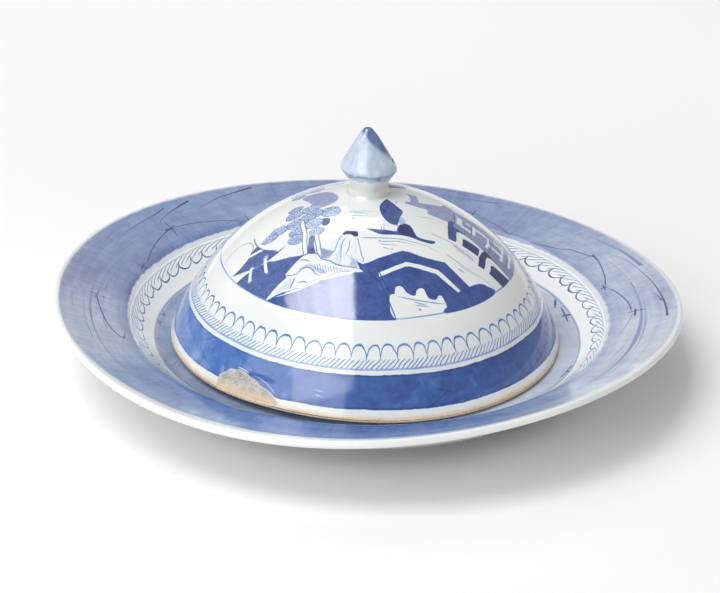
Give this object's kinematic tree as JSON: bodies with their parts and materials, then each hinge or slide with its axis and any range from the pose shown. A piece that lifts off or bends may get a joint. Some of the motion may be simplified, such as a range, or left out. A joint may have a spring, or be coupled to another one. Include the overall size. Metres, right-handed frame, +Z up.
{
  "type": "butter dish",
  "caption": "Round porcelain butter dish: broad-rimmed dish on a foot ring, pierced drainer disc and a lift-off domed cover with a pointed bud knob.",
  "frame": {"origin": "centre of the circle on which the foot ring stands, at table height", "axes": "+Z up along the dish's axis of revolution; the knob's vent hole is 12 degrees from +X towards -Y"},
  "size_m": [0.2, 0.2, 0.08],
  "materials": {
    "dish_porcelain": "glossy glaze over underglaze blue painting",
    "drainer_porcelain": "glossy pale glaze",
    "cover_porcelain": "glossy glaze over underglaze blue painting",
    "knob_porcelain": "glossy glaze over a pale blue wash"
  },
  "bodies": {
    "dish": {"dish": "dish_porcelain"},
    "drainer": {"drainer": "drainer_porcelain"},
    "cover": {"cover": "cover_porcelain", "knob": "knob_porcelain"}
  },
  "joints": [
    {"name": "drainer_lift", "type": "slide", "parent": "dish", "child": "drainer", "axis": [0, 0, 1], "range_m": [0, 0.06]},
    {"name": "cover_lift", "type": "slide", "parent": "drainer", "child": "cover", "axis": [0, 0, 1], "range_m": [0, 0.12]}
  ]
}
